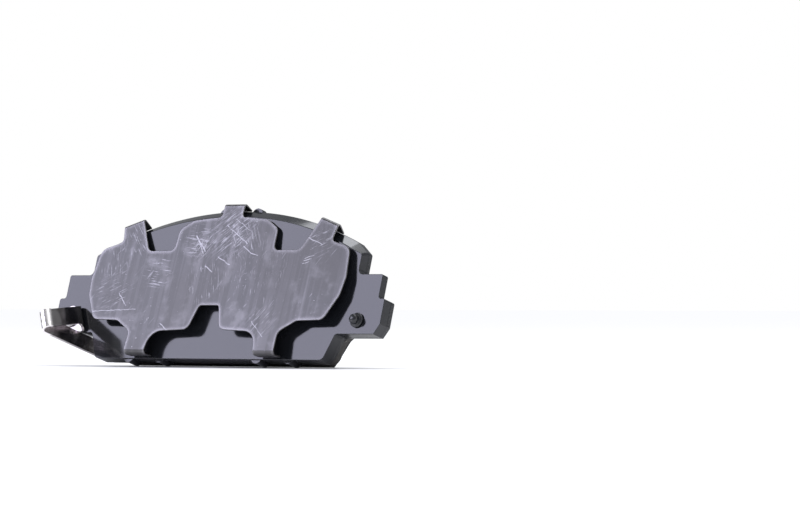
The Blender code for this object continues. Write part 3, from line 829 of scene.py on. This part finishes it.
def scuffed_shim_steel():
    made, tree, shader, where = new_material("scuffed_shim_steel", Metallic=1.0)
    scratches = lighter_of(tree, [
        use(tree, SCRATCH, "Mask", Vector=where, From=on_sheet(x0, z0), To=on_sheet(x1, z1), Width=width * MM)
        for x0, z0, x1, z1, width in SHEET_SCRATCHES])
    hatching = []
    for seed, (x, z, radius, angle, threshold) in enumerate(SHEET_SCUFFS):
        lines = use(tree, SCUFFS, "Mask", Vector=where, Angle=angle, Across=2400.0, Along=170.0,
                    Threshold=threshold, Seed=seed * 3.7)
        spot = use(tree, WORN_SPOT, "Mask", Vector=where, Centre=on_sheet(x, z), Radius=radius * MM)
        hatching.append(math_node(tree, "MULTIPLY", lines, spot))
    scuffs = lighter_of(tree, hatching)
    broken = use(tree, PATCHES, "Mask", Vector=where, Scale=420.0, Low=0.34, High=0.56, Seed=61.0)
    scuffs = math_node(tree, "MULTIPLY", scuffs, remap(tree, broken, 0.0, 1.0, 0.25, 1.0))
    scratches = math_node(tree, "MULTIPLY", scratches, remap(tree, broken, 0.0, 1.0, 0.35, 1.0))
    loose = use(tree, SCUFFS, "Mask", Vector=where, Angle=-0.6, Across=900.0, Along=110.0,
                Threshold=0.66, Seed=51.0)
    rolled = use(tree, SCUFFS, "Mask", Vector=where, Angle=0.03, Across=420.0, Along=7.0,
                 Threshold=0.50, Seed=3.0)
    streaks = use(tree, SCUFFS, "Mask", Vector=where, Angle=0.05, Across=150.0, Along=12.0,
                  Threshold=0.60, Seed=8.0)
    # painted highlight: the shim's edges and tab bends are lightened in its colour
    rim_highlights = use(tree, RIM_HIGHLIGHTS, "Mask", Radius=0.0022)
    flecks = use(tree, PATCHES, "Mask", Vector=where, Scale=900.0, Low=0.66, High=0.72, Seed=2.0)
    dusty = use(tree, PATCHES, "Mask", Vector=where, Scale=50.0, Low=0.45, High=0.60, Seed=23.0)
    smudges = use(tree, PATCHES, "Mask", Vector=where, Scale=110.0, Low=0.50, High=0.72, Seed=33.0)
    cloudy = use(tree, PATCHES, "Mask", Vector=where, Scale=24.0, Low=0.3, High=0.7, Seed=41.0)
    colour = blend_colour(tree, cloudy, (0.070, 0.070, 0.070), (0.106, 0.104, 0.104))
    colour = blend_colour(tree, math_node(tree, "MULTIPLY", rolled, 0.14), colour, (0.16, 0.155, 0.16))
    colour = blend_colour(tree, math_node(tree, "MULTIPLY", streaks, 0.22), colour, (0.19, 0.185, 0.19))
    colour = blend_colour(tree, math_node(tree, "MULTIPLY", smudges, 0.35), colour, (0.21, 0.205, 0.21))
    colour = blend_colour(tree, math_node(tree, "MULTIPLY", rim_highlights, 0.6), colour, (0.32, 0.31, 0.32))
    flecks = math_node(tree, "MULTIPLY", flecks, dusty)
    marks = ((scuffs, 0.34), (scratches, 0.50), (loose, 0.16), (flecks, 0.55))
    worn = lighter_of(tree, [math_node(tree, "MULTIPLY", mask, weight) for mask, weight in marks])
    colour = blend_colour(tree, worn, colour, (0.68, 0.67, 0.70))
    feed(tree, shader, Base_Color=colour)
    rough = remap(tree, cloudy, 0.0, 1.0, 0.34, 0.44)
    feed(tree, shader, Roughness=math_node(tree, "ADD", rough, math_node(tree, "MULTIPLY", worn, 0.2)))
    dents = add(tree, "ShaderNodeTexNoise")
    feed(tree, dents, Vector=where, Scale=70.0, Detail=3.0, Roughness=0.5)
    height = math_node(tree, "SUBTRACT", math_node(tree, "MULTIPLY", dents.outputs["Fac"], 0.6),
                       math_node(tree, "MULTIPLY", worn, 0.25))
    raise_by(tree, shader, height, 0.0002)
    return made


def plated_spring_steel(loop):
    """Dark spring steel, with a painted highlight about the middle of its loop."""
    made, tree, shader, where = new_material("plated_spring_steel", Metallic=1.0)
    grain = use(tree, SCUFFS, "Mask", Vector=where, Angle=0.43, Across=300.0, Along=2600.0,
                Threshold=0.5, Seed=2.0)
    stain = use(tree, PATCHES, "Mask", Vector=where, Scale=90.0, Low=0.45, High=0.7, Seed=9.0)
    # painted highlight: the strip's edges are lightened in its colour
    rim_highlights = use(tree, RIM_HIGHLIGHTS, "Mask", Radius=0.0005)
    colour = blend_colour(tree, math_node(tree, "MULTIPLY", stain, 0.5),
                          (0.47, 0.44, 0.44), (0.19, 0.16, 0.15))
    # painted highlight: near-white colour about the bend of the loop, where it catches the light
    highlight_mask = use(tree, WORN_SPOT, "Mask", Vector=where, Centre=loop, Radius=0.0085)
    colour = blend_colour(tree, remap(tree, highlight_mask, 0.2, 0.5), colour, (0.84, 0.81, 0.80))
    colour = blend_colour(tree, math_node(tree, "MULTIPLY", grain, 0.08), colour, (0.80, 0.77, 0.75))
    colour = blend_colour(tree, math_node(tree, "MULTIPLY", rim_highlights, 0.3), colour, (0.85, 0.82, 0.80))
    feed(tree, shader, Base_Color=colour)
    feed(tree, shader, Roughness=remap(tree, stain, 0.0, 1.0, 0.13, 0.24))
    raise_by(tree, shader, grain, 0.00001)
    return made


def formed_rivet_steel():
    made, tree, shader, where = new_material("formed_rivet_steel", Metallic=1.0)
    flat = add(tree, "ShaderNodeVectorMath", operation="MULTIPLY")
    tree.links.new(where, flat.inputs[0])
    flat.inputs[1].default_value = (1.0, 1.0, 0.0)
    far = add(tree, "ShaderNodeVectorMath", operation="LENGTH")
    tree.links.new(flat.outputs[0], far.inputs[0])
    rings = math_node(tree, "SINE", math_node(tree, "MULTIPLY", far.outputs["Value"], 16000.0))
    rings = remap(tree, rings, -1.0, 1.0)
    dull = use(tree, PATCHES, "Mask", Vector=where, Scale=300.0, Low=0.4, High=0.7, Seed=5.0)
    colour = blend_colour(tree, dull, (0.50, 0.49, 0.48), (0.30, 0.29, 0.29))
    colour = blend_colour(tree, math_node(tree, "MULTIPLY", rings, 0.3), colour, (0.68, 0.66, 0.65))
    feed(tree, shader, Base_Color=colour, Roughness=remap(tree, dull, 0.0, 1.0, 0.25, 0.42))
    raise_by(tree, shader, rings, 0.00004)
    return made


def moulded(name, dark, light, flake, flake_share):
    made, tree, shader, where = new_material(name, Metallic=0.0)
    grit = add(tree, "ShaderNodeTexNoise")
    feed(tree, grit, Vector=where, Scale=700.0, Detail=8.0, Roughness=0.75)
    flakes = use(tree, SPECKS, "Mask", Vector=where, Scale=900.0, Size=0.42, Share=flake_share)
    dust = use(tree, PATCHES, "Mask", Vector=where, Scale=60.0, Low=0.4, High=0.75, Seed=11.0)
    colour = blend_colour(tree, grit.outputs["Fac"], dark, light)
    colour = blend_colour(tree, math_node(tree, "MULTIPLY", dust, 0.25), colour, light)
    colour = blend_colour(tree, math_node(tree, "MULTIPLY", flakes, 0.8), colour, flake)
    feed(tree, shader, Base_Color=colour, Roughness=remap(tree, flakes, 0.0, 1.0, 0.88, 0.45))
    pits = add(tree, "ShaderNodeTexVoronoi")
    feed(tree, pits, Vector=where, Scale=480.0)
    height = math_node(tree, "ADD", math_node(tree, "MULTIPLY", grit.outputs["Fac"], 0.7),
                       math_node(tree, "MULTIPLY", pits.outputs["Distance"], 0.3))
    raise_by(tree, shader, height, 0.0004)
    return made


def friction_compound():
    return moulded("friction_compound", (0.018, 0.018, 0.019), (0.085, 0.082, 0.080),
                   (0.30, 0.27, 0.22), 0.16)


def underlayer_compound():
    return moulded("underlayer_compound", (0.030, 0.029, 0.028), (0.12, 0.115, 0.11),
                   (0.22, 0.21, 0.20), 0.10)


def bonded_rubber():
    made, tree, shader, where = new_material("bonded_rubber", Metallic=0.0)
    cloudy = use(tree, PATCHES, "Mask", Vector=where, Scale=80.0, Low=0.35, High=0.7, Seed=17.0)
    feed(tree, shader, Base_Color=blend_colour(tree, cloudy, (0.010, 0.010, 0.011), (0.022, 0.022, 0.023)),
         Roughness=remap(tree, cloudy, 0.0, 1.0, 0.6, 0.8))
    grain = add(tree, "ShaderNodeTexNoise")
    feed(tree, grain, Vector=where, Scale=1500.0, Detail=3.0)
    raise_by(tree, shader, grain.outputs["Fac"], 0.00005)
    return made


# ---------------------------------------------------------------- studio
def floor():
    """Pale floor that glows as painted light: no emission under the pad, where its real shadow falls, and
    more further out.
    """
    bm = bmesh.new()
    bmesh.ops.create_grid(bm, x_segments=1, y_segments=1, size=6000.0)
    ground = place("pale_floor", bm, Matrix.Translation((0.0, 0.0, -0.00005)), bpy.context.scene.collection)
    made, tree, shader, spot = new_material("pale_floor", Base_Color=(0.90, 0.90, 0.92, 1.0), Roughness=0.25,
                                            Emission_Color=(1.0, 1.0, 1.0, 1.0))
    shrunk = add(tree, "ShaderNodeVectorMath", operation="DIVIDE")
    tree.links.new(spot, shrunk.inputs[0])
    shrunk.inputs[1].default_value = (0.062, 0.020, 1.0)
    far = add(tree, "ShaderNodeVectorMath", operation="LENGTH")
    tree.links.new(shrunk.outputs[0], far.inputs[0])
    # painted light: emission strength rises with distance from the pad, so the floor glows white away from it
    feed(tree, shader, Emission_Strength=remap(tree, far.outputs["Value"], 0.6, 2.0, 0.0, 0.6))
    ground.data.materials.append(made)


def backdrop():
    world = bpy.data.worlds.new("white_studio")
    world.use_nodes = True
    tree = world.node_tree
    tree.nodes.clear()
    ambient = add(tree, "ShaderNodeBackground")
    feed(tree, ambient, Color=(0.93, 0.95, 1.0, 1.0), Strength=0.42)
    white = add(tree, "ShaderNodeBackground")
    feed(tree, white, Color=(1.0, 1.0, 1.0, 1.0), Strength=1.0)
    pick = add(tree, "ShaderNodeMixShader")
    tree.links.new(add(tree, "ShaderNodeLightPath").outputs["Is Camera Ray"], pick.inputs[0])
    tree.links.new(ambient.outputs[0], pick.inputs[1])
    tree.links.new(white.outputs[0], pick.inputs[2])
    tree.links.new(pick.outputs[0], add(tree, "ShaderNodeOutputWorld").inputs["Surface"])
    bpy.context.scene.world = world


def softbox(name, towards, distance, size, radiance, colour=(1.0, 1.0, 1.0)):
    """Rectangular lamp with its face to the pad; radiance is how bright its face looks."""
    lamp = bpy.data.lights.new(name, "AREA")
    lamp.shape = "RECTANGLE"
    lamp.size, lamp.size_y = size
    lamp.energy = radiance * math.pi * size[0] * size[1]
    lamp.color = colour
    made = bpy.data.objects.new(name, lamp)
    bpy.context.scene.collection.objects.link(made)
    towards = Vector(towards).normalized()
    made.location = towards * distance
    made.rotation_euler = towards.to_track_quat("Z", "Y").to_euler()
    made.visible_camera = False


def lights():
    softbox("left_front_softbox", (-0.65, -0.63, 0.43), 1.3, (0.9, 0.6), 4.9, (0.79, 0.785, 1.0))
    softbox("overhead_softbox", (0.10, 0.10, 1.0), 1.2, (1.4, 1.0), 1.6, (0.95, 0.97, 1.0))
    softbox("upper_rear_softbox", (-0.35, 0.35, 0.87), 1.2, (0.4, 0.4), 3.2, (0.92, 0.94, 1.0))
    softbox("right_strip_softbox", (0.95, 0.0, 0.35), 1.2, (0.4, 0.9), 1.6)


def camera():
    """Long lens almost level with the floor, right of the pad's front; its angles are in the pad's frame."""
    azimuth, elevation, roll = math.radians(42.04), math.radians(-12.93), math.radians(11.31)
    away = Vector((math.sin(azimuth) * math.cos(elevation), -math.cos(azimuth) * math.cos(elevation),
                   math.sin(elevation)))
    right = (-away).cross(Vector((0.0, 0.0, 1.0))).normalized()
    up = right.cross(-away)
    level = Matrix((right, up, away)).transposed().to_4x4()
    turned_to_frame = (Matrix.Rotation(roll, 4, "Z") @ Matrix.Rotation(math.radians(-2.09), 4, "Y")
                       @ Matrix.Rotation(math.radians(0.28), 4, "X"))
    spot = away * 1.746
    data = bpy.data.cameras.new("camera")
    data.sensor_width = 36.0
    data.lens = 221.9
    data.clip_end = 50.0
    made = bpy.data.objects.new("camera", data)
    made.matrix_world = FRAME @ Matrix.Translation(spot) @ level @ turned_to_frame
    bpy.context.scene.collection.objects.link(made)
    bpy.context.scene.camera = made


backing_plate()
underlayer()
friction_lining()
outer_shim()
shim_damping_layer()
wear_indicator()
rivets()
floor()
backdrop()
lights()
camera()
bpy.context.scene.view_settings.view_transform = "Standard"


def plain(bounds):
    return [[float(c) for c in corner] for corner in bounds]


bpy.context.view_layer.update()
